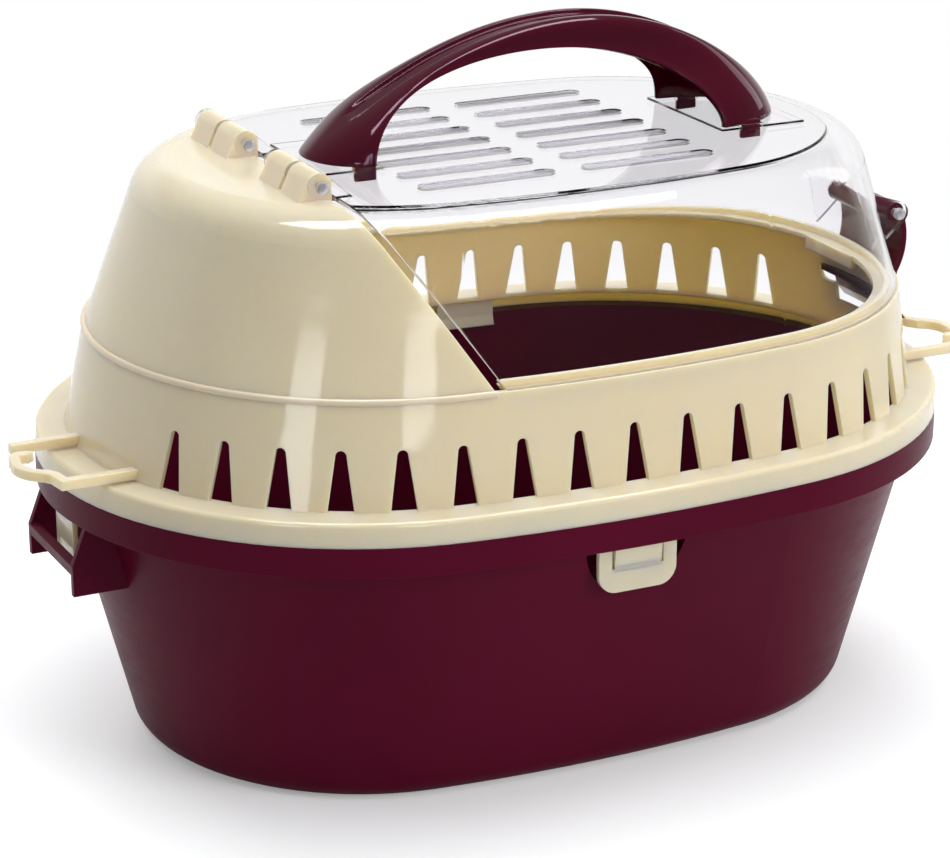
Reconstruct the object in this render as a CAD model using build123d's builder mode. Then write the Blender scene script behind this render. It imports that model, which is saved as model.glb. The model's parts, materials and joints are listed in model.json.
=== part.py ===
from build123d import *
import os
from math import cos, pi, radians, sin

# Small animal carrier with a deep tub, a slotted upper ring with a hood, a clear lid and a handle.
# Millimetres. X runs along the carrier, Y across it and Z up. The origin is the centre of the flat base.
# The hood and the lid's hinges are at the -X end, and the lid's latch is at the +X end.

# Oval outline of the flange, whose sides bow slightly and whose ends are round
half_length = 199.0
half_width = 142.0
side_bow_angle = 7.0

# Walls
wall = 2.5
lid_wall = 2.2
seat_clearance = 0.4
side_clearance = 0.4
bore_clearance = 0.05

# Heights above the base
rim_bottom = 112.5
seam = 125.0
flange_top = 135.0
ledge_top = 178.0
dome_top = 245.0

# Tub
tub_foot_inset = 38.9
tub_rim_inset = 10.4
tub_foot_radius = 11.0
rim_web = 3.0
tub_draft = (tub_foot_inset - tub_rim_inset) / rim_bottom

# Grille wall of the upper housing
grille_foot_inset = 11.9
grille_top_inset = 17.8
slot_count = 17
slot_pitch = 24.4
slot_foot_width = 10.5
slot_tip_radius = 2.2
slot_height = 24.0
grille_draft = (grille_top_inset - grille_foot_inset) / (ledge_top - flange_top)

# Dome, shared by the hood and the lid
dome_foot_inset = 18.6
dome_draft = 0.29
shoulder_radius = 17.5

# How much each millimetre of height pulls the hood's end in, beyond the draft of the sides
hood_end_draft = 0.085

# Cut between the hood and the lid, given where it meets the ledge and the flat top
hood_cut_low = -58.0
hood_cut_high = -100.5
lid_cut_low = -53.0
lid_cut_high = -97.5

# Ledge that carries the lid, its ridge and the catch lip over the latch slot
ledge_width = 11.0
ridge_inset = 22.6
ridge_width = 2.0
ridge_height = 3.0
catch_lip_width = 38.0
catch_lip_depth = 4.0
catch_lip_drop = 6.0

# Locating segments that reach into the tub
segment_width = 28.0
segment_x = 48.0
segment_depth = 5.0

# Lid hinges
hinge_setback = 4.0
hinge_rise = 5.8
hinge_group_y = 38.0
knuckle_width = 19.0
knuckle_radius = 5.2
knuckle_slope_run = 9.0
ear_thickness = 2.4
ear_head_radius = 5.0
ear_run = 14.0
hinge_pin_radius = 1.8
pin_head_radius = 2.6
pin_head_length = 2.6

# Vent slots in the lid's flat top
vent_rows = 7
vent_pitch = 19.8
vent_length = 60.0
vent_width = 7.0
vent_column_x = (-32.0, 41.0)
plateau_height = 0.8
plateau_inset = 51.0

# Handle, an arch whose legs widen and lean towards two feet with round ends
foot_left = -87.0
foot_right = 129.0
foot_left_half_width = 25.0
foot_right_half_width = 30.5
foot_pad_height = 1.5
handle_rise = 49.0
apex_x = 34.0
left_bend = 1.2
right_bend = 1.74
grip_depth = 11.0
grip_half_width = 12.5
neck_height = 38.0
leg_steps = 6
leg_margin = 1.2
inner_left = -65.0
inner_right = 94.0
handle_wall = 2.4
groove_depth = 1.5
groove_half_width = 6.0
groove_start_x = -66.0
groove_end_x = 108.0

# Snap tabs under the handle's feet
tab_length = 9.3
tab_drop = 8.0
tab_left_setback = 18.0
tab_right_setback = 21.0

# Latch at the right end
latch_standoff = 11.5
latch_pin_z = 196.8
latch_pin_radius = 1.9
latch_barrel_radius = 4.3
latch_half_width = 22.6
latch_plate = 2.8
latch_ear_thickness = 2.6
latch_ear_radius = 5.2
latch_ear_top = 208.5
latch_ear_foot = 181.6
latch_slot_height = 8.0
latch_slot_z = 159.0
latch_window_width = 30.0
latch_window_height = 9.0
latch_bulge = 6.9
latch_bulge_drop = 10.4
latch_waist = 2.9
latch_waist_drop = 27.8
latch_low = 2.2
latch_low_drop = 37.0
latch_bend = 4.0
latch_bend_drop = 45.2
latch_tip = 8.3
latch_tip_drop = 50.2

# Side clips
clip_width = 35.0
clip_foot = 90.0
clip_corner_radius = 8.0
clip_thickness = 2.5
tongue_width = 21.0
tongue_foot = 100.0
tongue_lean = 1.4
slit_width = 1.2
recess_margin = 5.0
recess_lip = 1.2
recess_depth = 10.5
recess_foot = 88.0
recess_radius = 20.0

# End brackets of the tub and the end tabs of the housing that drop behind their bars
bracket_half_width = 28.0
bracket_overhang = 2.2
bracket_foot = 84.0
bracket_bend = 97.0
bracket_top_inset = 3.8
bracket_ear = 3.0
crease_foot_inset = 22.2
crease_top_inset = 14.3
gusset_foot_y = 34.0
gusset_top_y = 50.0
bar_height = 4.5
bar_thickness = 3.0
end_tab_width = 20.0
end_tab_foot = 88.0
end_tab_inset = 6.6

# Strap hooks
hook_band = 4.0
hook_height = 4.0
hook_lift = 1.0
hook_knee = 8.5
hook_reach = 21.5
hook_straight = 15.0
hook_jog = 12.0
hook_step = 3.5
hook_loop = 31.0
hook_curl = 5.5
hook_curl_return = 9.0
hook_left_y = -17.0
hook_right_y = -21.0
hook_arm_gap = 49.0


# Sizes that follow from the ones above

bow = radians(side_bow_angle)
radius_gap = (half_length - half_width) / (sin(bow) + cos(bow) - 1)
end_radius = half_length - radius_gap * sin(bow)
side_radius = end_radius + radius_gap
latch_end_x = half_length - grille_foot_inset
bracket_reach = half_length + bracket_overhang
hinge_x = hood_cut_high - hinge_setback
hinge_z = dome_top + hinge_rise
foot_top = dome_top + foot_pad_height


def tub_inset(height):
    """How far the tub's outer wall stands in from the flange's outline."""
    return tub_rim_inset + (rim_bottom - height) * tub_draft


def grille_inset(height):
    """How far the grille wall stands in from the flange's outline."""
    return grille_foot_inset + (height - flange_top) * grille_draft


def dome_inset(height):
    """How far the dome's side stands in from the flange's outline, below the shoulder."""
    return dome_foot_inset + (height - ledge_top) * dome_draft


latch_pin_x = half_length - dome_inset(latch_pin_z) + latch_standoff


def end_x(inset, y):
    """X of the round end of an outline at a distance y from the middle."""
    radius = end_radius - inset
    return half_length - end_radius + (radius**2 - y**2) ** 0.5


def oval(height, inset):
    """The flange's outline, moved inwards by an inset, as a flat face at a height."""
    with BuildSketch(Plane.XY.offset(height)) as face:
        with BuildLine():
            for way in (1, -1):
                pull = max(height - seam, 0) * hood_end_draft if way == -1 else 0
                length = half_length - pull
                gap = (length - half_width) / (sin(bow) + cos(bow) - 1)
                side = length - gap * sin(bow) + gap
                join_x = (side - inset) * sin(bow)
                join_y = half_width - side + (side - inset) * cos(bow)
                middle = half_width - inset
                flat_x = (side - inset) * sin(bow / 2)
                flat_y = half_width - side + (side - inset) * cos(bow / 2)
                for over in (1, -1):
                    ThreePointArc((0, over * middle), (way * flat_x, over * flat_y), (way * join_x, over * join_y))
                ThreePointArc((way * join_x, join_y), (way * (length - inset), 0), (way * join_x, -join_y))
        make_face()
    return face.sketch


def oval_body(*levels):
    """Solid with straight walls through ovals, each given as a height and an inset."""
    with BuildPart() as body:
        loft(sections=[oval(height, inset) for height, inset in levels], ruled=True)
    return body.part


def dome_body(thickness):
    """Solid dome inside the dome's outer skin by a thickness."""
    top = dome_top - thickness
    with BuildPart() as body:
        add(oval_body((ledge_top, dome_foot_inset + thickness), (top, dome_inset(top) + thickness)))
        fillet(body.edges().group_by(Axis.Z)[-1], shoulder_radius - thickness)
    return body.part


def side_plate(points, y_low, y_high):
    """Plate with a corner list in X and Z, between two Y values."""
    with BuildPart() as body:
        with BuildSketch(Plane.XZ.offset(-y_high)):
            with BuildLine():
                Polyline(*points, close=True)
            make_face()
        extrude(amount=y_high - y_low)
    return body.part


def box_between(low, high):
    """Box between two corners."""
    size = [b - a for a, b in zip(low, high)]
    middle = [(a + b) / 2 for a, b in zip(low, high)]
    with BuildPart() as body:
        with Locations(tuple(middle)):
            Box(*size)
    return body.part


def turned(shape, way):
    """The shape as it is for 1, and turned half way round the vertical axis for -1."""
    return shape if way == 1 else shape.rotate(Axis.Z, 180)


# Base tub


def recess_prism(margin, depth):
    """Volume of the finger recess behind the front clip, grown by a margin."""
    half = clip_width / 2 + recess_margin + margin
    foot = recess_foot - margin
    middle = foot + recess_radius
    with BuildPart() as body:
        with BuildSketch(Plane.XZ.offset(half_width - wall - recess_lip)):
            with BuildLine():
                Line((-half, seam), (-half, middle))
                ThreePointArc((-half, middle), (0, foot), (half, middle))
                Line((half, middle), (half, seam))
                Line((half, seam), (-half, seam))
            make_face()
        extrude(amount=-(tub_rim_inset + depth - wall - recess_lip))
    return body.part


def bracket_ear_body(side):
    """One ear of the right bracket, with the gusset that flares to the wall."""
    sections = []
    outer = side * bracket_half_width
    inner = side * (bracket_half_width - bracket_ear)
    levels = (
        (bracket_foot, bracket_reach, crease_foot_inset, gusset_foot_y),
        (bracket_bend, bracket_reach, None, None),
        (rim_bottom, half_length - bracket_top_inset, crease_top_inset, gusset_top_y),
    )
    for height, reach, crease, flare in levels:
        if crease is None:
            share = (height - bracket_foot) / (rim_bottom - bracket_foot)
            crease = crease_foot_inset + share * (crease_top_inset - crease_foot_inset)
            flare = gusset_foot_y + share * (gusset_top_y - gusset_foot_y)
        root = end_x(tub_inset(height) + wall, flare)
        corners = (
            (reach, inner),
            (reach, outer),
            (half_length - crease, outer),
            (root, side * flare),
            (root - wall, inner),
        )
        with BuildSketch(Plane.XY.offset(height)) as section:
            with BuildLine():
                Polyline(*corners, close=True)
            make_face()
        sections.append(section.sketch)
    with BuildPart() as body:
        loft(sections=sections, ruled=True)
    return body.part


bar_points = (
    (bracket_reach + 0.2, bracket_bend),
    (bracket_reach - bar_thickness, bracket_bend + 1.4),
    (bracket_reach - bar_thickness - 0.3, bracket_bend + 1.4 - bar_height),
    (bracket_reach - 0.1, bracket_bend - bar_height),
)
end_tab_out = half_length - end_tab_inset + wall
end_tab_slot = box_between(
    (end_tab_out - wall - seat_clearance, -end_tab_width / 2 - side_clearance, rim_bottom),
    (end_tab_out + seat_clearance, end_tab_width / 2 + side_clearance, seam),
)

with BuildPart() as base_tub:
    add(oval_body((rim_bottom, 0), (seam, 0)))
    add(oval_body((rim_bottom, wall), (seam - rim_web, wall)), mode=Mode.SUBTRACT)
    with BuildPart(mode=Mode.PRIVATE) as tub_outside:
        add(oval_body((0, tub_foot_inset), (seam, tub_inset(seam))))
        fillet(tub_outside.edges().group_by(Axis.Z)[0], tub_foot_radius)
    with BuildPart(mode=Mode.PRIVATE) as tub_inside:
        add(oval_body((wall, tub_inset(wall) + wall), (seam, tub_inset(seam) + wall)))
        fillet(tub_inside.edges().group_by(Axis.Z)[0], tub_foot_radius - wall)
    add(tub_outside.part)
    for way in (1, -1):
        for side in (1, -1):
            add(turned(bracket_ear_body(side), way))
        add(turned(side_plate(bar_points, -bracket_half_width + 1, bracket_half_width - 1), way))
    add(tub_inside.part, mode=Mode.SUBTRACT)
    for way in (1, -1):
        with BuildPart(mode=Mode.PRIVATE) as backing:
            add(recess_prism(wall, recess_depth + wall))
            add(tub_outside.part, mode=Mode.INTERSECT)
        add(turned(backing.part, way))
        add(turned(recess_prism(0, recess_depth), way), mode=Mode.SUBTRACT)
        add(turned(end_tab_slot, way), mode=Mode.SUBTRACT)
base_tub.part.label = "base_tub"


# Upper housing


def hook_body():
    """Open strap loop at the left end, with its straight arm at the back."""
    low = flange_top + hook_lift
    front_y = -hook_arm_gap / 2
    back_y = hook_arm_gap / 2
    farthest = back_y + max(abs(hook_left_y), abs(hook_right_y)) + hook_band
    root_x = -end_x(grille_inset(low) + wall, farthest)
    knee_x = -half_length - hook_knee
    reach_x = -half_length - hook_reach + hook_band / 2
    loop_y = front_y + hook_loop
    bow_y = front_y + (hook_jog + hook_loop) / 2 + hook_band / 2
    with BuildPart() as body:
        with BuildSketch(Plane.XY.offset(low)):
            with BuildLine():
                arm = Line((root_x, front_y), (knee_x, front_y))
                jog = Line(arm @ 1, (knee_x - hook_step / 3, front_y + hook_jog - hook_step))
                step = Line(jog @ 1, (knee_x - hook_step, front_y + hook_jog))
                bend = ThreePointArc(step @ 1, (reach_x, bow_y), (reach_x + hook_step / 3, loop_y))
                curl_end = (reach_x + hook_curl_return, loop_y + hook_curl - hook_step / 3)
                ThreePointArc(bend @ 1, (reach_x + hook_step, loop_y + hook_curl), curl_end)
            trace(line_width=hook_band)
            with BuildLine():
                Line((root_x, back_y), (-half_length - hook_straight, back_y))
            trace(line_width=hook_band)
        extrude(amount=hook_height)
    return body.part


def knuckle_profile(radius):
    """Hood of one hinge knuckle, seen from the side."""
    with BuildSketch() as profile:
        with Locations((hinge_x, hinge_z)):
            Circle(radius)
        with BuildLine():
            Polyline(
                (hinge_x - knuckle_slope_run, dome_top - wall / 2),
                (hinge_x + radius, dome_top - wall / 2),
                (hinge_x + radius, hinge_z),
                close=True,
            )
        make_face()
        make_hull()
    return profile.sketch


def slot_places():
    """Angle, point and outward direction of each grille slot of the front side."""
    inset = grille_inset(flange_top) + wall / 2
    straight = (side_radius - inset) * bow
    last = (slot_count - 1) // 2
    places = []
    for index in range(-last, last + 1):
        run = abs(index) * slot_pitch
        if run <= straight:
            angle = run / (side_radius - inset)
            x = (side_radius - inset) * sin(angle)
            y = half_width - side_radius + (side_radius - inset) * cos(angle)
        else:
            angle = bow + (run - straight) / (end_radius - inset)
            x = half_length - end_radius + (end_radius - inset) * sin(angle)
            y = (end_radius - inset) * cos(angle)
        way = 1 if index >= 0 else -1
        places.append(((way * x, -y), (way * sin(angle), -cos(angle))))
    return places


def lid_side_of_cut(low_x, high_x, foot):
    """Everything on the lid's side of a cut that slopes from the ledge to the flat top, above a foot."""
    slope = (high_x - low_x) / (dome_top - ledge_top)
    over = dome_top + 3 * knuckle_radius
    points = (
        (low_x + slope * (foot - ledge_top), foot),
        (low_x + slope * (over - ledge_top), over),
        (half_length, over),
        (half_length, foot),
    )
    return side_plate(points, -half_width, half_width)


group_centres = (-hinge_group_y, hinge_group_y)
knuckle_offset = ear_thickness / 2 + side_clearance + knuckle_width / 2
ear_offset = ear_thickness + 2 * side_clearance + knuckle_width
knuckle_centres = [group + way * knuckle_offset for group in group_centres for way in (-1, 1)]
ear_centres = [group + step * ear_offset for group in group_centres for step in (-1, 0, 1)]

with BuildPart() as upper_housing:
    add(oval_body((seam, 0), (flange_top, 0)))
    fillet(upper_housing.edges().group_by(Axis.Z)[-1], wall - 0.7)
    add(oval_body((flange_top, grille_inset(flange_top)), (ledge_top, grille_inset(ledge_top))))
    add(dome_body(0))
    hook = hook_body()
    add(hook.moved(Location((0, hook_left_y, 0))))
    add(turned(hook, -1).moved(Location((0, hook_right_y, 0))))
    add(oval_body((seam, wall), (flange_top - wall, wall)), mode=Mode.SUBTRACT)
    ring_inside = oval_body(
        (flange_top - wall, grille_inset(flange_top - wall) + wall),
        (ledge_top, grille_inset(ledge_top) + wall),
    )
    add(ring_inside, mode=Mode.SUBTRACT)
    add(dome_body(wall), mode=Mode.SUBTRACT)
    add(lid_side_of_cut(hood_cut_low, hood_cut_high, ledge_top), mode=Mode.SUBTRACT)
    # The ledge and its ridge run round the lid's opening only
    with BuildPart(mode=Mode.PRIVATE) as ledge:
        add(oval_body((ledge_top - wall, grille_top_inset), (ledge_top, grille_top_inset)))
        add(oval_body((ledge_top, ridge_inset), (ledge_top + ridge_height, ridge_inset)))
        add(
            oval_body(
                (ledge_top - wall, grille_top_inset + ledge_width),
                (ledge_top, grille_top_inset + ledge_width),
            ),
            mode=Mode.SUBTRACT,
        )
        add(
            oval_body(
                (ledge_top, ridge_inset + ridge_width),
                (ledge_top + ridge_height, ridge_inset + ridge_width),
            ),
            mode=Mode.SUBTRACT,
        )
        add(lid_side_of_cut(lid_cut_low, lid_cut_high, ledge_top - wall), mode=Mode.INTERSECT)
    add(ledge.part)
    # Catch lip over the latch slot
    lip_x = end_x(grille_top_inset + ledge_width, catch_lip_width / 2)
    add(
        box_between(
            (lip_x - 1.0, -catch_lip_width / 2, ledge_top - catch_lip_drop),
            (lip_x - 1.0 + catch_lip_depth, catch_lip_width / 2, ledge_top),
        )
    )
    # Grille slots, front and back
    for way in (1, -1):
        for (x, y), (out_x, out_y) in slot_places():
            slot_plane = Plane(
                origin=(way * x, way * y, flange_top),
                x_dir=(-way * out_y, way * out_x, 0),
                z_dir=(way * out_x, way * out_y, 0),
            )
            shoulder = slot_height - slot_tip_radius
            with BuildSketch(slot_plane):
                with BuildLine():
                    Line((-slot_tip_radius, shoulder), (-slot_foot_width / 2, 0))
                    Line((-slot_foot_width / 2, 0), (slot_foot_width / 2, 0))
                    Line((slot_foot_width / 2, 0), (slot_tip_radius, shoulder))
                    ThreePointArc((slot_tip_radius, shoulder), (0, slot_height), (-slot_tip_radius, shoulder))
                make_face()
            extrude(amount=4 * wall, both=True, mode=Mode.SUBTRACT)
    # Latch slot and the window under it
    with BuildSketch(Plane.YZ.offset(latch_end_x - 4 * wall)):
        with Locations((0, latch_slot_z)):
            SlotOverall(2 * (latch_half_width + 2.4), latch_slot_height)
        with Locations((0, latch_slot_z - latch_slot_height / 2 - latch_window_height / 2 + 1)):
            Rectangle(latch_window_width, latch_window_height)
    extrude(amount=6 * wall, mode=Mode.SUBTRACT)
    # Locating segments, which reach into the tub
    with BuildPart(mode=Mode.PRIVATE) as segments:
        top = flange_top - wall
        gap = tub_inset(seam) + wall + seat_clearance
        foot = seam - segment_depth
        foot_gap = tub_inset(foot) + wall + seat_clearance
        add(oval_body((foot, foot_gap), (seam, gap), (top, gap)))
        add(oval_body((foot, foot_gap + wall), (seam, gap + wall), (top, gap + wall)), mode=Mode.SUBTRACT)
        with BuildPart(mode=Mode.PRIVATE) as windows:
            for way in (1, -1):
                add(
                    box_between(
                        (way * segment_x - segment_width / 2, -half_width, foot),
                        (way * segment_x + segment_width / 2, half_width, top),
                    )
                )
        add(windows.part, mode=Mode.INTERSECT)
    add(segments.part)
    # End tabs
    for way in (1, -1):
        tab = box_between(
            (end_tab_out - wall, -end_tab_width / 2, end_tab_foot),
            (end_tab_out, end_tab_width / 2, flange_top - wall / 2),
        )
        add(turned(tab, way))
    # Hinge knuckles
    knuckle = knuckle_profile(knuckle_radius)
    for centre in knuckle_centres:
        with BuildSketch(Plane.XZ.offset(-centre)):
            add(knuckle)
        extrude(amount=knuckle_width / 2, both=True)
    with BuildSketch(Plane.XZ):
        with Locations((hinge_x, hinge_z)):
            Circle(hinge_pin_radius + bore_clearance)
    extrude(amount=half_width, both=True, mode=Mode.SUBTRACT)
upper_housing.part.label = "upper_housing"


# Lid


def hinge_ear_profile():
    """One hinge ear of the lid, seen from the side."""
    root_x = lid_cut_high + lid_wall / 2
    with BuildSketch() as profile:
        with Locations((hinge_x, hinge_z)):
            Circle(ear_head_radius)
        with BuildLine():
            Polyline(
                (root_x, dome_top - lid_wall / 4),
                (hinge_x + ear_run, dome_top - lid_wall / 4),
                (hinge_x + ear_run, dome_top),
                (root_x, dome_top),
                close=True,
            )
        make_face()
        make_hull()
    return profile.sketch


def latch_ear_profile():
    """One latch ear of the lid, seen from the side."""
    sink = lid_wall / 2
    with BuildSketch() as profile:
        with Locations((latch_pin_x, latch_pin_z)):
            Circle(latch_ear_radius)
        ear_y = latch_half_width
        top_x = end_x(dome_inset(latch_ear_top), ear_y) - sink
        foot_x = end_x(dome_inset(latch_ear_foot), ear_y) - sink
        with BuildLine():
            Polyline(
                (top_x, latch_ear_top),
                (foot_x, latch_ear_foot),
                (latch_pin_x, latch_pin_z),
                close=True,
            )
        make_face()
        make_hull()
    return profile.sketch


def foot_edge_y(half_width_of_foot, setback):
    """Y of the middle of a foot's wall, at a distance in from the foot's round end."""
    from_centre = half_width_of_foot - setback
    return (half_width_of_foot**2 - from_centre**2) ** 0.5 - handle_wall / 2


latch_ear_centre = latch_half_width + side_clearance + latch_ear_thickness / 2
tab_left_y = foot_edge_y(foot_left_half_width, tab_left_setback)
tab_right_y = foot_edge_y(foot_right_half_width, tab_right_setback)
tab_left_x = foot_left + tab_left_setback
tab_right_x = foot_right - tab_right_setback
tab_places = [(tab_left_x, -tab_left_y), (tab_left_x, tab_left_y)]
tab_places += [(tab_right_x, -tab_right_y), (tab_right_x, tab_right_y)]
pad_margin = 2.5

with BuildPart() as lid:
    add(dome_body(0))
    add(oval_body((dome_top, plateau_inset), (dome_top + plateau_height, plateau_inset + plateau_height / 2)))
    pads = ((foot_left, inner_left, foot_left_half_width), (inner_right, foot_right, foot_right_half_width))
    for low_x, high_x, half in pads:
        add(
            box_between(
                (low_x - pad_margin, -half - pad_margin, dome_top),
                (high_x + pad_margin, half + pad_margin, foot_top),
            )
        )
    add(dome_body(lid_wall), mode=Mode.SUBTRACT)
    add(lid_side_of_cut(lid_cut_low, lid_cut_high, ledge_top), mode=Mode.INTERSECT)
    hinge_ear = hinge_ear_profile()
    for centre in ear_centres:
        with BuildSketch(Plane.XZ.offset(-centre)):
            add(hinge_ear)
        extrude(amount=ear_thickness / 2, both=True)
    latch_ear = latch_ear_profile()
    for way in (1, -1):
        with BuildSketch(Plane.XZ.offset(-way * latch_ear_centre)):
            add(latch_ear)
        extrude(amount=latch_ear_thickness / 2, both=True)
    with BuildSketch(Plane.XZ):
        with Locations((hinge_x, hinge_z)):
            Circle(hinge_pin_radius + bore_clearance)
        with Locations((latch_pin_x, latch_pin_z)):
            Circle(latch_pin_radius + bore_clearance)
    extrude(amount=half_width, both=True, mode=Mode.SUBTRACT)
    with BuildSketch(Plane.XY.offset(dome_top - 2 * wall)):
        for column_x in vent_column_x:
            with Locations((column_x, 0)):
                with GridLocations(0, vent_pitch, 1, vent_rows):
                    SlotOverall(vent_length, vent_width)
        with Locations(*tab_places):
            Rectangle(tab_length + 2 * side_clearance, handle_wall + 2 * side_clearance)
    extrude(amount=4 * wall, mode=Mode.SUBTRACT)
lid.part.label = "lid"


# Handle


def leg_reach(height, drop, way):
    """X of the handle's outer curve at a height over its feet, on the right for 1 and on the left for -1."""
    span = (foot_right - apex_x if way == 1 else apex_x - foot_left) - drop
    bend = right_bend if way == 1 else left_bend
    return apex_x + way * span * (1 - (height / (handle_rise - drop)) ** bend) ** 0.5


def leg_half_width(height, shrink, way):
    """Half width of a leg at a height over its foot, easing into the grip's."""
    foot = foot_right_half_width if way == 1 else foot_left_half_width
    share = (1 + cos(pi * height / neck_height)) / 2
    return grip_half_width + (foot - grip_half_width) * share - shrink


def under_outer_curve(drop):
    """Side view of everything below the handle's outer curve, lowered by a drop and kept clear of the legs' feet."""
    rise = handle_rise - drop
    points = []
    for way in (-1, 1):
        for step in range(leg_steps):
            height = rise * sin(step / leg_steps * pi / 2)
            clear = way * leg_margin * (1 - height / rise)
            points.append((leg_reach(height, drop, way) + clear, foot_top + height))
    left, right = points[:leg_steps], points[leg_steps:]
    with BuildSketch() as face:
        with BuildLine():
            Spline(*left, (apex_x, foot_top + rise), *reversed(right))
            Line(right[0], left[0])
        make_face()
    return face.sketch


def leg_section(height, drop, shrink):
    """Level section through both legs at a height over the feet, with round ends."""
    left_x, right_x = leg_reach(height, drop, -1), leg_reach(height, drop, 1)
    left_w, right_w = leg_half_width(height, shrink, -1), leg_half_width(height, shrink, 1)
    with BuildSketch(Plane.XY.offset(foot_top + height)) as face:
        with BuildLine():
            ThreePointArc((left_x + left_w, left_w), (left_x, 0), (left_x + left_w, -left_w))
            Line((left_x + left_w, -left_w), (right_x - right_w, -right_w))
            ThreePointArc((right_x - right_w, -right_w), (right_x, 0), (right_x - right_w, right_w))
            Line((right_x - right_w, right_w), (left_x + left_w, left_w))
        make_face()
    return face.sketch


def handle_body(drop, shrink):
    """Solid handle without its grip opening, with its skin moved in."""
    with BuildPart() as body:
        neck = neck_height - drop
        levels = [neck * step / leg_steps for step in range(leg_steps + 1)]
        loft(sections=[leg_section(level, drop, shrink) for level in levels])
        add(leg_section(neck, drop, shrink))
        extrude(amount=handle_rise - neck)
        with BuildPart(mode=Mode.PRIVATE) as arch:
            with BuildSketch(Plane.XZ):
                add(under_outer_curve(drop))
            extrude(amount=half_width, both=True)
        add(arch.part, mode=Mode.INTERSECT)
    return body.part


with BuildPart() as handle:
    add(handle_body(0, 0))
    with BuildSketch(Plane.XZ):
        with Locations(((inner_left + inner_right) / 2, foot_top)):
            Ellipse((inner_right - inner_left) / 2, handle_rise - grip_depth)
    extrude(amount=half_width, both=True, mode=Mode.SUBTRACT)
    for x, y in tab_places:
        add(
            box_between(
                (x - tab_length / 2, y - handle_wall / 2, foot_top - tab_drop),
                (x + tab_length / 2, y + handle_wall / 2, foot_top + handle_wall),
            )
        )
    add(handle_body(handle_wall + groove_depth, handle_wall), mode=Mode.SUBTRACT)
    # Shallow groove along the top of the grip
    with BuildSketch(Plane.XZ):
        add(under_outer_curve(0))
        add(under_outer_curve(groove_depth), mode=Mode.SUBTRACT)
        with Locations(((groove_start_x + groove_end_x) / 2, foot_top + handle_rise / 2)):
            Rectangle(groove_end_x - groove_start_x, handle_rise + wall, mode=Mode.INTERSECT)
    extrude(amount=groove_half_width, both=True, mode=Mode.SUBTRACT)
handle.part.label = "handle"


# Latch

with BuildPart() as lid_latch:
    outside = (
        (latch_pin_x + latch_barrel_radius, latch_pin_z),
        (latch_pin_x + latch_bulge, latch_pin_z - latch_bulge_drop),
        (latch_pin_x + latch_waist, latch_pin_z - latch_waist_drop),
        (latch_pin_x + latch_low, latch_pin_z - latch_low_drop),
        (latch_pin_x + latch_bend, latch_pin_z - latch_bend_drop),
        (latch_pin_x + latch_tip, latch_pin_z - latch_tip_drop),
    )
    inside = [(x - latch_plate, z) for x, z in outside]
    with BuildSketch(Plane.XZ):
        with Locations((latch_pin_x, latch_pin_z)):
            Circle(latch_barrel_radius)
        with BuildLine():
            ThreePointArc(*outside[:3])
            ThreePointArc(*outside[2:5])
            Line(outside[4], outside[5])
            Line(outside[5], inside[5])
            Line(inside[5], inside[4])
            ThreePointArc(*inside[2:5])
            ThreePointArc(*inside[:3])
            Line(inside[0], outside[0])
        make_face()
        # Hook that enters the slot in the housing
        hook_high = latch_slot_z + latch_slot_height / 2 - seat_clearance
        hook_in = end_x(grille_inset(latch_slot_z), 0) - wall - latch_plate
        hook_root = latch_pin_x + latch_low - latch_plate / 2
        with BuildLine():
            Polyline(
                (hook_in, hook_high),
                (hook_root, hook_high),
                (hook_root, hook_high - latch_plate),
                (hook_in, hook_high - latch_plate),
                close=True,
            )
        make_face()
    extrude(amount=latch_half_width, both=True)
    with BuildSketch(Plane.XZ):
        with Locations((latch_pin_x, latch_pin_z)):
            Circle(latch_pin_radius + bore_clearance)
    extrude(amount=latch_half_width + wall, both=True, mode=Mode.SUBTRACT)
lid_latch.part.label = "lid_latch"


# Pins


def pin_body(x, z, radius, y_front, y_back):
    """Pin along Y with a round head at its front end."""
    with BuildPart() as body:
        with BuildSketch(Plane.XZ.offset(-y_back)):
            with Locations((x, z)):
                Circle(radius)
        extrude(amount=y_back - y_front)
        with BuildSketch(Plane.XZ.offset(-y_front)):
            with Locations((x, z)):
                Circle(pin_head_radius)
        extrude(amount=pin_head_length)
        fillet(body.edges().group_by(Axis.Y)[0], pin_head_length / 3)
    return body.part


pins = {}
for name, centre in (("hinge_pin_front", -hinge_group_y), ("hinge_pin_rear", hinge_group_y)):
    reach = ear_offset + ear_thickness / 2
    with BuildPart() as pin:
        add(pin_body(hinge_x, hinge_z, hinge_pin_radius, centre - reach, centre + reach))
    pin.part.label = name
    pins[name] = pin
with BuildPart() as latch_pin:
    reach = latch_ear_centre + latch_ear_thickness / 2
    add(pin_body(latch_pin_x, latch_pin_z, latch_pin_radius, -reach, reach))
latch_pin.part.label = "latch_pin"


# Side clips, made for the front and turned for the back

clip_front = half_width - tub_rim_inset
clip_top = flange_top - wall


def clip_frame_body():
    """Frame of the front clip: two legs joined by a foot with round corners."""
    half = clip_width / 2
    opening = tongue_width / 2 + slit_width
    with BuildPart() as body:
        with BuildSketch(Plane.XZ.offset(clip_front)):
            with BuildLine():
                Polyline(
                    (-half, clip_foot),
                    (half, clip_foot),
                    (half, clip_top),
                    (opening, clip_top),
                    (opening, tongue_foot),
                    (-opening, tongue_foot),
                    (-opening, clip_top),
                    (-half, clip_top),
                    close=True,
                )
            make_face()
        extrude(amount=-clip_thickness)
        corners = body.edges().filter_by(Axis.Y).group_by(Axis.Z)[0]
        fillet(corners, clip_corner_radius)
    return body.part


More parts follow.
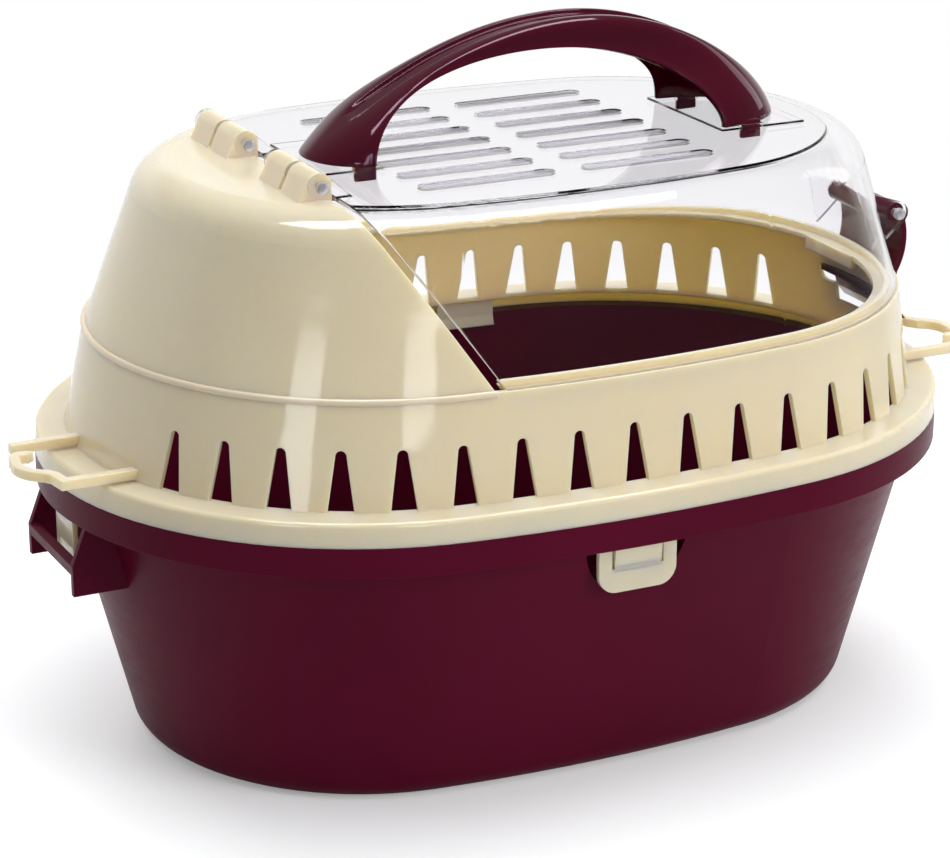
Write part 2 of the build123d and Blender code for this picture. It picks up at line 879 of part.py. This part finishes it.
def clip_tongue_body():
    """Tongue of the front clip, which leans outwards towards its top."""
    half = tongue_width / 2
    foot = tongue_foot + side_clearance
    top = rim_bottom - seat_clearance
    with BuildPart() as body:
        with BuildSketch(Plane.YZ.offset(-half)):
            with BuildLine():
                Polyline(
                    (-clip_front, foot),
                    (-clip_front - tongue_lean, top),
                    (-clip_front - tongue_lean + clip_thickness, top),
                    (-clip_front + clip_thickness, foot),
                    close=True,
                )
            make_face()
        extrude(amount=tongue_width)
    return body.part


clips = {}
for place, way in (("front", 1), ("rear", -1)):
    with BuildPart() as clip:
        add(turned(clip_frame_body(), way))
    clip.part.label = place + "_clip"
    clips[clip.part.label] = clip
    with BuildPart() as tongue:
        add(turned(clip_tongue_body(), way))
    tongue.part.label = place + "_clip_tongue"
    clips[tongue.part.label] = tongue


os.makedirs("parts", exist_ok=True)
pieces = [base_tub, upper_housing, lid, handle, lid_latch, latch_pin, *pins.values(), *clips.values()]
for piece in pieces:
    export_step(piece.part, f"parts/{piece.part.label}.step")
    print(piece.part.label, len(piece.part.solids()), round(piece.part.volume))
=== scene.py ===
import json
import math

import bmesh
import bpy
from mathutils import Matrix, Vector

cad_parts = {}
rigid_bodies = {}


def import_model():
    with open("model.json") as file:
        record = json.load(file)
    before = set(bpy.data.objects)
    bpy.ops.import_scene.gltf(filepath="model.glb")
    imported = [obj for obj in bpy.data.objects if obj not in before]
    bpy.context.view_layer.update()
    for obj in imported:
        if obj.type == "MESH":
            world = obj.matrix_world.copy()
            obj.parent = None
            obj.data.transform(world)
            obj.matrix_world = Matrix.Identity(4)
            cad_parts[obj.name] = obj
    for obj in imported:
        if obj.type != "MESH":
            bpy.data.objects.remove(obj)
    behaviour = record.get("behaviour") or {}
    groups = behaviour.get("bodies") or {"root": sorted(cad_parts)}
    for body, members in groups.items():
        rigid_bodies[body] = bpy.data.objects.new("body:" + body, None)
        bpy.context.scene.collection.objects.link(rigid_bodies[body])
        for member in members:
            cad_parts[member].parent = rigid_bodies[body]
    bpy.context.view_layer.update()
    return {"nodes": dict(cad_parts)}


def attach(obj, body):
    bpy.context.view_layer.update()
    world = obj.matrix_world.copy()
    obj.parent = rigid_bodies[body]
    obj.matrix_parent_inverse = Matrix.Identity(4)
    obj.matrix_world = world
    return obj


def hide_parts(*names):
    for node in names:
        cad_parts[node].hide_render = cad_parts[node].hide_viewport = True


for leftover in list(bpy.data.objects):
    bpy.data.objects.remove(leftover)

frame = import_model()
nodes = frame["nodes"]


# Camera, where the photograph's own camera stood
camera_place = (-0.5780, -1.1749, 0.5724)
camera_aim = (-0.0085, 0.0, 0.1177)
lens_length = 121.61
sensor_width = 36.0
farthest_seen = 50.0


def stand(thing, place, aim):
    """Camera or lamp set up at a place and turned to what it looks at or lights."""
    thing.location = place
    thing.rotation_euler = (Vector(aim) - Vector(place)).to_track_quat("-Z", "Y").to_euler()
    bpy.context.scene.collection.objects.link(thing)


camera = bpy.data.objects.new("camera", bpy.data.cameras.new("camera"))
camera.data.lens = lens_length
camera.data.sensor_width = sensor_width
camera.data.clip_end = farthest_seen
stand(camera, camera_place, camera_aim)
bpy.context.scene.camera = camera
bpy.context.scene.view_settings.view_transform = "Standard"


# Lamps: the boxes give the light, and the strips only show as bright bars in the gloss
whole_carrier = (0.0, 0.0, 0.15)
tub_front = (0.0, 0.0, 0.12)
hood_left = (-0.12, -0.09, 0.2)
hood_front = (-0.09, -0.115, 0.2)
lid_top = (0.05, 0.0, 0.3)


def softbox(name, place, aim, size, power, lights=True, shines=True):
    """Rectangular studio lamp, which may only light or only show in gloss and through clear plastic."""
    lamp = bpy.data.lights.new(name, "AREA")
    lamp.shape = "RECTANGLE"
    lamp.size, lamp.size_y = size
    lamp.energy = power
    box = bpy.data.objects.new(name, lamp)
    box.visible_diffuse = lights
    box.visible_glossy = shines
    box.visible_transmission = shines
    stand(box, place, aim)


softbox("overhead_box", (0.05, 0.05, 1.7), whole_carrier, size=(2.2, 1.8), power=27.0, shines=False)
softbox("front_box", (1.4, -2.1, 1.0), tub_front, size=(1.4, 0.8), power=29.0, shines=False)
softbox("back_box", (0.0, 2.1, 1.0), whole_carrier, size=(1.8, 1.0), power=26.0, shines=False)
softbox("right_box", (1.9, 0.2, 0.9), whole_carrier, size=(0.5, 1.3), power=4.0)
softbox("left_strip", (-1.60, -1.286, 0.44), hood_left, size=(0.40, 0.79), power=5.2, lights=False)
softbox("middle_strip", (-0.303, -2.0, 0.44), hood_front, size=(0.43, 0.68), power=5.0, lights=False)
softbox("top_strip", (0.05, 0.0, 1.5), lid_top, size=(1.5, 0.45), power=26.0, lights=False)


# Steps that the room and the finishes share


def set_up(node, values):
    """Fixed values of a node's sockets, by the sockets' names."""
    for socket, value in values.items():
        node.inputs[socket].default_value = value


def reckoned(tree, operation, first, second):
    """Result of one operation on a value and on a second value or a plain number."""
    node = tree.nodes.new("ShaderNodeMath")
    node.operation = operation
    tree.links.new(first, node.inputs[0])
    if isinstance(second, float):
        node.inputs[1].default_value = second
    else:
        tree.links.new(second, node.inputs[1])
    return node.outputs[0]


def ranged(tree, value, low, high, start=0.35, end=0.65, kind="LINEAR"):
    """Value carried from a start and an end to a low and a high number."""
    step = tree.nodes.new("ShaderNodeMapRange")
    step.interpolation_type = kind
    set_up(step, {"From Min": start, "From Max": end, "To Min": low, "To Max": high})
    tree.links.new(value, step.inputs["Value"])
    return step.outputs["Result"]


def on_rays(tree, *kinds):
    """Share that is 1 for light of the named kinds and 0 for all other light."""
    path = tree.nodes.new("ShaderNodeLightPath")
    share = path.outputs[f"Is {kinds[0]} Ray"]
    for kind in kinds[1:]:
        share = reckoned(tree, "MAXIMUM", share, path.outputs[f"Is {kind} Ray"])
    return share


def either(tree, share, first, second):
    """First shader where a share is 0, second one where it is 1, and a blend between."""
    blend = tree.nodes.new("ShaderNodeMixShader")
    tree.links.new(share, blend.inputs["Fac"])
    tree.links.new(first.outputs[0], blend.inputs[1])
    tree.links.new(second.outputs[0], blend.inputs[2])
    return blend


# Room: even light on the carrier, white for the camera and through clear plastic, and a shaded room in gloss
white = (1.0, 1.0, 1.0)
studio = bpy.data.worlds.new("studio")
bpy.context.scene.world = studio
studio.use_nodes = True
air = studio.node_tree
air.nodes.clear()
direction = air.nodes.new("ShaderNodeSeparateXYZ")
air.links.new(air.nodes.new("ShaderNodeTexCoord").outputs["Generated"], direction.inputs[0])


def backdrop(colour, strength):
    """One even light of the room."""
    light = air.nodes.new("ShaderNodeBackground")
    set_up(light, {"Color": (*colour, 1.0), "Strength": strength})
    return light


def side_share(axis, start, end):
    """Share that grows with how far a direction leans along an axis."""
    return ranged(air, direction.outputs[axis], 0.0, 1.0, start, end, "SMOOTHSTEP")


room_light = backdrop((0.96, 0.98, 1.0), 0.36)
white_paper = backdrop(white, 1.0)
paper_behind = backdrop(white, 0.95)
ceiling = backdrop(white, 0.35)
low_walls = backdrop((0.76, 0.77, 0.82), 0.36)
back_wall = either(air, side_share("Z", 0.26, 0.45), paper_behind, low_walls)
all_walls = either(air, side_share("Y", 0.1, 0.5), low_walls, back_wall)
shaded_room = either(air, side_share("Z", 0.66, 0.86), all_walls, ceiling)
seen_room = either(air, on_rays(air, "Glossy"), white_paper, shaded_room)
whole_room = either(air, on_rays(air, "Camera", "Glossy", "Transmission"), room_light, seen_room)
world_out = air.nodes.new("ShaderNodeOutputWorld")
air.links.new(whole_room.outputs[0], world_out.inputs["Surface"])


def new_finish(name):
    """Finish to be built up, with its nodes, its main shader and the places on its piece."""
    finish = bpy.data.materials.new(name)
    finish.use_nodes = True
    tree = finish.node_tree
    surface = tree.nodes["Principled BSDF"]
    where = tree.nodes.new("ShaderNodeTexCoord").outputs["Object"]
    return finish, tree, surface, where


# Floor
sheet_radius = 2.4
sheet_sides = 96
floor_colour = (0.86, 0.865, 0.875, 1.0)
floor_glow = 0.26
fade_start = 0.3
fade_end = 0.75


def white_floor():
    """White paper that glows a little for the camera and fades into the white behind it."""
    paper, tree, surface, where = new_finish("white_floor")
    set_up(surface, {"Base Color": floor_colour, "Roughness": 0.9, "Specular IOR Level": 0.1})
    set_up(surface, {"Emission Color": (*white, 1.0)})
    glow = reckoned(tree, "MULTIPLY", on_rays(tree, "Camera"), floor_glow)
    tree.links.new(glow, surface.inputs["Emission Strength"])
    reach = tree.nodes.new("ShaderNodeVectorMath")
    reach.operation = "LENGTH"
    tree.links.new(where, reach.inputs[0])
    fade = ranged(tree, reach.outputs["Value"], 0.0, 1.0, fade_start, fade_end, "SMOOTHSTEP")
    whole = either(tree, fade, surface, tree.nodes.new("ShaderNodeBsdfTransparent"))
    tree.links.new(whole.outputs[0], tree.nodes["Material Output"].inputs["Surface"])
    return paper


def paper_floor():
    """Round sheet of paper under the carrier."""
    sheet = bmesh.new()
    bmesh.ops.create_circle(sheet, cap_ends=True, segments=sheet_sides, radius=sheet_radius)
    mesh = bpy.data.meshes.new("floor")
    sheet.to_mesh(mesh)
    sheet.free()
    mesh.materials.append(white_floor())
    floor = bpy.data.objects.new("floor", mesh)
    bpy.context.scene.collection.objects.link(floor)


paper_floor()


# Finishes
clouds = {"scale": 9.0, "detail": 3.0}
rubbing = {"scale": 60.0, "detail": 6.0, "stretch": (1.0, 1.0, 4.0)}
grain = {"scale": 700.0, "detail": 4.0}
hazing = {"scale": 45.0, "detail": 5.0, "stretch": (1.0, 1.0, 3.0)}
ripples = {"scale": 22.0, "detail": 2.0}
# Share of the lighter edge colour on sharp edges, partly wear and partly a painted highlight along the edges
edge_wear_and_highlight = 0.3
grain_strength = 0.1
ripple_strength = 0.05
ripple_depth = 0.0006
shell_rounding = 0.0007
clip_rounding = 0.0001
clear_rounding = 0.001


def noise(tree, where, scale, detail, stretch=(1.0, 1.0, 1.0)):
    """Noise in the carrier's own space, scaled in waves per metre and stretched along its axes."""
    spread = tree.nodes.new("ShaderNodeMapping")
    set_up(spread, {"Scale": stretch})
    pattern = tree.nodes.new("ShaderNodeTexNoise")
    set_up(pattern, {"Scale": scale, "Detail": detail})
    tree.links.new(where, spread.inputs["Vector"])
    tree.links.new(spread.outputs[0], pattern.inputs["Vector"])
    return pattern.outputs["Fac"]


def mixed(tree, share, first, second):
    """Colour between two colours, by a share that varies over the surface."""
    blend = tree.nodes.new("ShaderNodeMix")
    blend.data_type = "RGBA"
    tree.links.new(share, blend.inputs["Factor"])
    for socket, colour in ((blend.inputs["A"], first), (blend.inputs["B"], second)):
        if isinstance(colour, tuple):
            socket.default_value = (*colour, 1.0)
        else:
            tree.links.new(colour, socket)
    return blend.outputs["Result"]


def rounded_edges(tree, radius):
    """Normal that runs round over sharp edges."""
    rounded = tree.nodes.new("ShaderNodeBevel")
    rounded.samples = 6
    set_up(rounded, {"Radius": radius})
    return rounded.outputs["Normal"]


def edge_share(tree, rounded):
    """Share that is 1 on sharp edges, where the rounded normal leaves the flat one."""
    flat = tree.nodes.new("ShaderNodeNewGeometry")
    same = tree.nodes.new("ShaderNodeVectorMath")
    same.operation = "DOT_PRODUCT"
    tree.links.new(rounded, same.inputs[0])
    tree.links.new(flat.outputs["Normal"], same.inputs[1])
    return ranged(tree, same.outputs["Value"], 1.0, 0.0, 0.86, 0.995)


def uneven(tree, surface, normal, height, strength, depth):
    """Surface whose normal is also tilted by a fine relief."""
    relief = tree.nodes.new("ShaderNodeBump")
    set_up(relief, {"Strength": strength, "Distance": depth})
    tree.links.new(height, relief.inputs["Height"])
    tree.links.new(normal, relief.inputs["Normal"])
    tree.links.new(relief.outputs["Normal"], surface.inputs["Normal"])


def moulded(name, tones, dull, bright, grain_depth, shine, rounding=shell_rounding):
    """Moulded plastic with slow tone changes, fine grain, faint rubbing, and sharp edges painted lighter as
    wear and a painted highlight.
    """
    finish, tree, surface, where = new_finish(name)
    colour, deep_colour, edge_wear_and_highlight_colour = tones
    set_up(surface, {"Specular IOR Level": shine})
    cloud = ranged(tree, noise(tree, where, **clouds), 0.0, 1.0)
    tone = mixed(tree, cloud, colour, deep_colour)
    normal = rounded_edges(tree, rounding)
    # Sharp edges are painted lighter, partly as wear and partly as a painted highlight
    wear_and_highlight = reckoned(tree, "MULTIPLY", edge_share(tree, normal), edge_wear_and_highlight)
    tree.links.new(mixed(tree, wear_and_highlight, tone, edge_wear_and_highlight_colour), surface.inputs["Base Color"])
    rubbed = ranged(tree, noise(tree, where, **rubbing), bright, dull, start=0.4, end=0.72)
    tree.links.new(rubbed, surface.inputs["Roughness"])
    uneven(tree, surface, normal, noise(tree, where, **grain), grain_strength, grain_depth)
    return finish


def clear_plastic(name, tint, through, haziest, bending, clearness=1.0):
    """Clear moulded plastic, which lets the lamps' light through to what is behind it."""
    finish, tree, surface, where = new_finish(name)
    set_up(surface, {"Base Color": (*tint, 1.0), "IOR": bending})
    set_up(surface, {"Transmission Weight": clearness, "Specular IOR Level": 1.0})
    haze = ranged(tree, noise(tree, where, **hazing), 0.0, haziest, start=0.45, end=0.75)
    tree.links.new(haze, surface.inputs["Roughness"])
    normal = rounded_edges(tree, clear_rounding)
    uneven(tree, surface, normal, noise(tree, where, **ripples), ripple_strength, ripple_depth)
    passed = tree.nodes.new("ShaderNodeBsdfTransparent")
    set_up(passed, {"Color": (*through, 1.0)})
    whole = either(tree, on_rays(tree, "Shadow", "Diffuse"), surface, passed)
    tree.links.new(whole.outputs[0], tree.nodes["Material Output"].inputs["Surface"])
    return finish


# Main colour, deeper colour for slow tone changes, and lighter edge colour that is partly wear and partly a
# painted highlight
burgundy_tones = (0.09, 0.0024, 0.017), (0.078, 0.002, 0.0145), (0.16, 0.012, 0.034)
gloss_tones = (0.062, 0.0012, 0.009), (0.054, 0.001, 0.008), (0.11, 0.008, 0.02)
cream_tones = (0.79, 0.675, 0.5), (0.76, 0.645, 0.47), (0.87, 0.80, 0.66)
cream_skin = {"dull": 0.15, "bright": 0.05, "grain_depth": 0.00003, "shine": 0.5}
shell_skin = {"dull": 0.4, "bright": 0.32, "grain_depth": 0.00004, "shine": 0.07}
gloss_skin = {"dull": 0.1, "bright": 0.03, "grain_depth": 0.00001, "shine": 0.34}
burgundy = moulded("burgundy_shell", burgundy_tones, **shell_skin)
burgundy_gloss = moulded("burgundy_gloss", gloss_tones, **gloss_skin)
cream = moulded("cream_shell", cream_tones, **cream_skin)
cream_clip = moulded("cream_clip", cream_tones, **cream_skin, rounding=clip_rounding)
cream_step = moulded("cream_step", cream_tones, **cream_skin)
clear_tints = (0.985, 0.98, 0.995), (0.97, 0.97, 0.98)
pin_tints = (0.93, 0.93, 0.96), (0.9, 0.9, 0.92)
frosted_tints = (0.9, 0.89, 0.95), (0.95, 0.95, 0.96)
clear = clear_plastic("clear_lid", *clear_tints, haziest=0.04, bending=1.2)
clear_pin = clear_plastic("clear_pin", *pin_tints, haziest=0.08, bending=1.25, clearness=0.7)
frosted = clear_plastic("frosted_clear", *frosted_tints, haziest=0.3, bending=1.12, clearness=0.6)

# Light soaks into the cream walls, and the burgundy ones shine a little purple
for finish in (cream, cream_clip):
    cream_body = finish.node_tree.nodes["Principled BSDF"]
    set_up(cream_body, {"Subsurface Weight": 0.8, "Subsurface Radius": (1.0, 0.8, 0.36)})
    set_up(cream_body, {"Subsurface Scale": 0.008})
for finish in (burgundy, burgundy_gloss):
    set_up(finish.node_tree.nodes["Principled BSDF"], {"Specular Tint": (1.0, 0.7, 0.95, 1.0)})

finishes = {
    "base_tub": burgundy,
    "upper_housing": cream,
    "lid": clear,
    "handle": burgundy_gloss,
    "lid_latch": burgundy_gloss,
    "latch_pin": clear_pin,
    "hinge_pin_front": clear_pin,
    "hinge_pin_rear": clear_pin,
    "front_clip": cream_clip,
    "front_clip_tongue": cream_clip,
    "rear_clip": cream_clip,
    "rear_clip_tongue": cream_clip,
}
for name, finish in finishes.items():
    for holder in nodes[name].material_slots:
        holder.material = finish


# Pieces made over the frame


def eased(value):
    """Share between 0 and 1 that starts and ends gently."""
    value = min(max(value, 0.0), 1.0)
    return value * value * (3 - 2 * value)


def shown(name, mesh, body, finish, stands_for=()):
    """Piece of the carrier from a mesh in its final place, which moves with a body."""
    piece = bpy.data.objects.new(name, mesh)
    bpy.context.scene.collection.objects.link(piece)
    mesh.materials.clear()
    mesh.materials.append(finish)
    for face in mesh.polygons:
        face.use_smooth = True
    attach(piece, body)
    if stands_for:
        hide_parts(*stands_for)
    return piece


def edges_of(verts):
    """Every edge at some points, once and in the same order each run."""
    return list(dict.fromkeys(edge for vert in verts for edge in vert.link_edges))


def mesh_of(name, shape):
    """Mesh from a bmesh, which is freed."""
    made = bpy.data.meshes.new(name)
    shape.to_mesh(made)
    shape.free()
    return made


def finished_mesh(name, shape, *steps):
    """Mesh of a mesh or curve after modifiers, each given as a kind and its settings."""
    bench = bpy.data.objects.new(name + "_bench", shape)
    bpy.context.scene.collection.objects.link(bench)
    for kind, settings in steps:
        step = bench.modifiers.new(kind.lower(), kind)
        for setting, value in settings.items():
            setattr(step, setting, value)
    made = bpy.data.meshes.new_from_object(bench.evaluated_get(bpy.context.evaluated_depsgraph_get()))
    made.name = name
    bpy.data.objects.remove(bench)
    return made


# Handle: an arch like an upturned channel, round over its feet and square with round corners at the grip
foot_top = 0.2465
rise = 0.049
apex_x = 0.034
foot_x = (-0.086, 0.131)
foot_half_width = (0.025, 0.0305)
leg_fullness = (1.02, 1.34)
inner_x = (-0.065, 0.094)
inner_rise = 0.038
inner_lead = math.radians(14.2)
neck = 0.038
grip_half_width = 0.0125
grip_squareness = 0.64
groove_half_width = 0.006
groove_ends = (-0.066, 0.108)
groove_depth = 0.0018
groove_edge = 0.0006
handle_wall = 0.0024
rim_height = 0.0024
rim_flare = 0.0007
rim_crease = 0.7
handle_steps = (100, 96)

# Snap tabs under the handle's feet
tab_places = ((-0.069, 0.0228), (0.108, 0.0278))
tab_length = 0.0093
tab_height = 0.0095
tab_drop = 0.008
tab_edge = 0.0005


def leg_width(level, side):
    """Half width of a leg at a level, easing from its foot into the grip."""
    share = (1 + math.cos(math.pi * min(max((level - foot_top) / neck, 0.0), 1.0))) / 2
    return grip_half_width + (foot_half_width[side] - grip_half_width) * share


def arch_lines(angle, side):
    """Points of the arch's outer and inner curve at an angle round it, with side 0 for the left leg."""
    spread = math.sqrt(max(1 - math.sin(angle) ** leg_fullness[side], 0.0))
    outer_x = apex_x + (foot_x[side] - apex_x) * spread
    inner_angle = angle + inner_lead * math.sin(angle)
    middle_x = (inner_x[0] + inner_x[1]) / 2
    reach = (inner_x[1] - middle_x) * math.cos(inner_angle)
    outer = Vector((outer_x, 0, foot_top + rise * math.sin(angle)))
    return outer, Vector((middle_x - reach, 0, foot_top + inner_rise * math.sin(inner_angle)))


def half_section(across, half, depth, roundness):
    """How far out and how deep a point of the channel's section lies, and the way left to its rim."""
    flat = half * (1 - roundness)
    corner = math.pi / 2 * roundness * math.sqrt((half ** 2 + depth ** 2) / 2)
    straight = depth * (1 - roundness)
    run = across * (flat + corner + straight)
    left = flat + corner + straight - run
    if run < flat:
        return run, 0.0, left
    if run < flat + corner:
        turn = (run - flat) / corner * math.pi / 2
        return flat + half * roundness * math.sin(turn), roundness * (1 - math.cos(turn)), left
    return half, roundness + (run - flat - corner) / depth, left


def handle_point(along, across):
    """Point of the handle's outer skin, from the left foot to the right and from front to back."""
    angle = math.pi * along
    side = 0 if along < 0.5 else 1
    outer, inner = arch_lines(angle, side)
    half = leg_width(outer.z, side)
    roundness = 1 - grip_squareness * eased(rise * math.sin(angle) / neck)
    y, share, left = half_section(abs(across), half, (inner - outer).length, roundness)
    spot = outer.lerp(inner, share)
    y *= leg_width(spot.z, side) / half
    y += rim_flare * eased(1 - left / rim_height)
    nearest = min(max(spot.x, groove_ends[0] + groove_half_width), groove_ends[1] - groove_half_width)
    away = math.hypot(spot.x - nearest, y)
    sunk = groove_depth * eased((groove_half_width - away) / groove_edge)
    spot += (inner - outer).normalized() * sunk
    return Vector((spot.x, math.copysign(y, across), spot.z))


def handle_skin():
    """Outer skin of the handle, with its faces outwards."""
    skin = bmesh.new()
    bmesh.ops.create_grid(skin, x_segments=handle_steps[0], y_segments=handle_steps[1], size=0.5)
    for vert in skin.verts:
        vert.co = handle_point(vert.co.x + 0.5, vert.co.y * 2)
    bmesh.ops.recalc_face_normals(skin, faces=skin.faces)
    top = max(skin.faces, key=lambda face: face.calc_center_median().z)
    if top.normal.z < 0:
        bmesh.ops.reverse_faces(skin, faces=skin.faces)
    return mesh_of("handle_skin", skin)


def snap_tab(whole, x, y):
    """Tab with soft edges under a foot of the handle."""
    tab = bmesh.ops.create_cube(whole, size=1.0)["verts"]
    bmesh.ops.scale(whole, vec=(tab_length, handle_wall, tab_height), verts=tab)
    bmesh.ops.translate(whole, vec=(x, y, foot_top - tab_drop + tab_height / 2), verts=tab)
    soft = {"offset": tab_edge, "segments": 3, "profile": 0.5, "affect": "EDGES", "material": -1}
    bmesh.ops.bevel(whole, geom=edges_of(tab), **soft)


def handle_mesh():
    """Channel-shaped handle with its snap tabs."""
    wall = {"thickness": handle_wall, "offset": -1.0, "use_even_offset": True}
    wall |= {"edge_crease_outer": rim_crease, "edge_crease_inner": rim_crease}
    smooth = {"levels": 1, "render_levels": 1}
    whole = bmesh.new()
    whole.from_mesh(finished_mesh("handle_channel", handle_skin(), ("SOLIDIFY", wall), ("SUBSURF", smooth)))
    for x, y in tab_places:
        for way in (1, -1):
            snap_tab(whole, x, way * y)
    return mesh_of("handle_arch", whole)


shown("handle_arch", handle_mesh(), "lid", burgundy_gloss, ["handle"])


# Rounded step round the hood, where its dome starts on the slotted wall
half_length = 0.199
half_width = 0.142
side_bow = math.radians(7.0)
hood_pull = 0.085
seam_height = 0.125
step_height = 0.1774
step_inset = 0.0181
step_stop = -0.058
step_radius = 0.0014
side_points = 12
end_points = 40


def hood_step_line(height, inset, stop_x):
    """Points round the hood's end, from the front edge of the lid's opening to the back one."""
    length = half_length - (height - seam_height) * hood_pull
    gap = (length - half_width) / (math.sin(side_bow) + math.cos(side_bow) - 1)
    side_radius = length - gap * math.sin(side_bow) + gap
    end_radius = side_radius - gap
    side_reach = side_radius - inset
    end_reach = end_radius - inset
    points = []
    start = math.asin(-stop_x / side_reach)
    for step in range(side_points + 1):
        angle = start + (side_bow - start) * step / side_points
        y = half_width - side_radius + side_reach * math.cos(angle)
        points.append((-side_reach * math.sin(angle), y))
    for step in range(1, end_points + 1):
        angle = side_bow + (math.pi / 2 - side_bow) * step / end_points
        x = end_radius - length - end_reach * math.sin(angle)
        points.append((x, end_reach * math.cos(angle)))
    front = [(x, -y, height) for x, y in points]
    return front + [(x, y, height) for x, y in reversed(points[:-1])]


def bead(name, points, radius):
    """Round bead along a line of points."""
    line = bpy.data.curves.new(name, "CURVE")
    line.dimensions = "3D"
    line.bevel_depth = radius
    line.bevel_resolution = 5
    line.use_fill_caps = True
    run = line.splines.new("POLY")
    run.points.add(len(points) - 1)
    for knot, point in zip(run.points, points):
        knot.co = (*point, 1.0)
    return finished_mesh(name, line)


hood_step = bead("hood_step", hood_step_line(step_height, step_inset, step_stop), step_radius)
shown("hood_step", hood_step, "housing", cream_step)


# Thin moulded lips that line the vent slots of the lid
vent_columns = (-0.032, 0.041)
vent_rows = 7
vent_pitch = 0.0198
vent_length = 0.060
vent_radius = 0.00346
lip_wall = 0.0004
lip_foot = 0.2427
lip_height = 0.00255
ring_steps = 32


def vent_band(band, x, y):
    """Upright band with round ends, which lines one vent slot."""
    tube = {"segments": ring_steps, "radius1": vent_radius, "radius2": vent_radius, "depth": lip_height}
    ring = bmesh.ops.create_cone(band, **tube)["verts"]
    half_step = Matrix.Rotation(math.pi / ring_steps, 3, "Z")
    bmesh.ops.rotate(band, verts=ring, cent=(0, 0, 0), matrix=half_step)
    for way in (-1, 1):
        end = [vert for vert in ring if vert.co.x * way > 0]
        bmesh.ops.translate(band, vec=(way * (vent_length / 2 - vent_radius), 0, 0), verts=end)
    bmesh.ops.translate(band, vec=(x, y, lip_foot + lip_height / 2), verts=ring)


def vent_lips_mesh():
    """Lips of all vent slots."""
    band = bmesh.new()
    for x in vent_columns:
        for row in range(vent_rows):
            vent_band(band, x, (row - (vent_rows - 1) / 2) * vent_pitch)
    bmesh.ops.recalc_face_normals(band, faces=band.faces)
    wall = {"thickness": lip_wall, "offset": -1.0, "use_even_offset": True}
    return finished_mesh("vent_lips", mesh_of("vent_bands", band), ("SOLIDIFY", wall))


shown("vent_lips", vent_lips_mesh(), "lid", frosted)


# Thin webs at the feet of the clip tongues, on which the tongues bend
clip_front = 0.13165
web_depth = 0.0022
web_width = 0.021
web_foot = 0.0990
web_height = 0.0024


def web_mesh(name, way):
    """Flat web across the foot of one tongue, with way -1 at the front and 1 at the back."""
    web = bmesh.new()
    bmesh.ops.create_cube(web, size=1.0)
    bmesh.ops.scale(web, vec=(web_width, web_depth, web_height), verts=web.verts)
    middle = (0.0, way * (clip_front - web_depth / 2), web_foot + web_height / 2)
    bmesh.ops.translate(web, vec=middle, verts=web.verts)
    return mesh_of(name, web)


for end, way in (("front", -1), ("rear", 1)):
    web_name = end + "_clip_web"
    web_piece = shown(web_name, web_mesh(web_name, way), "housing", cream_clip)
    for face in web_piece.data.polygons:
        face.use_smooth = False
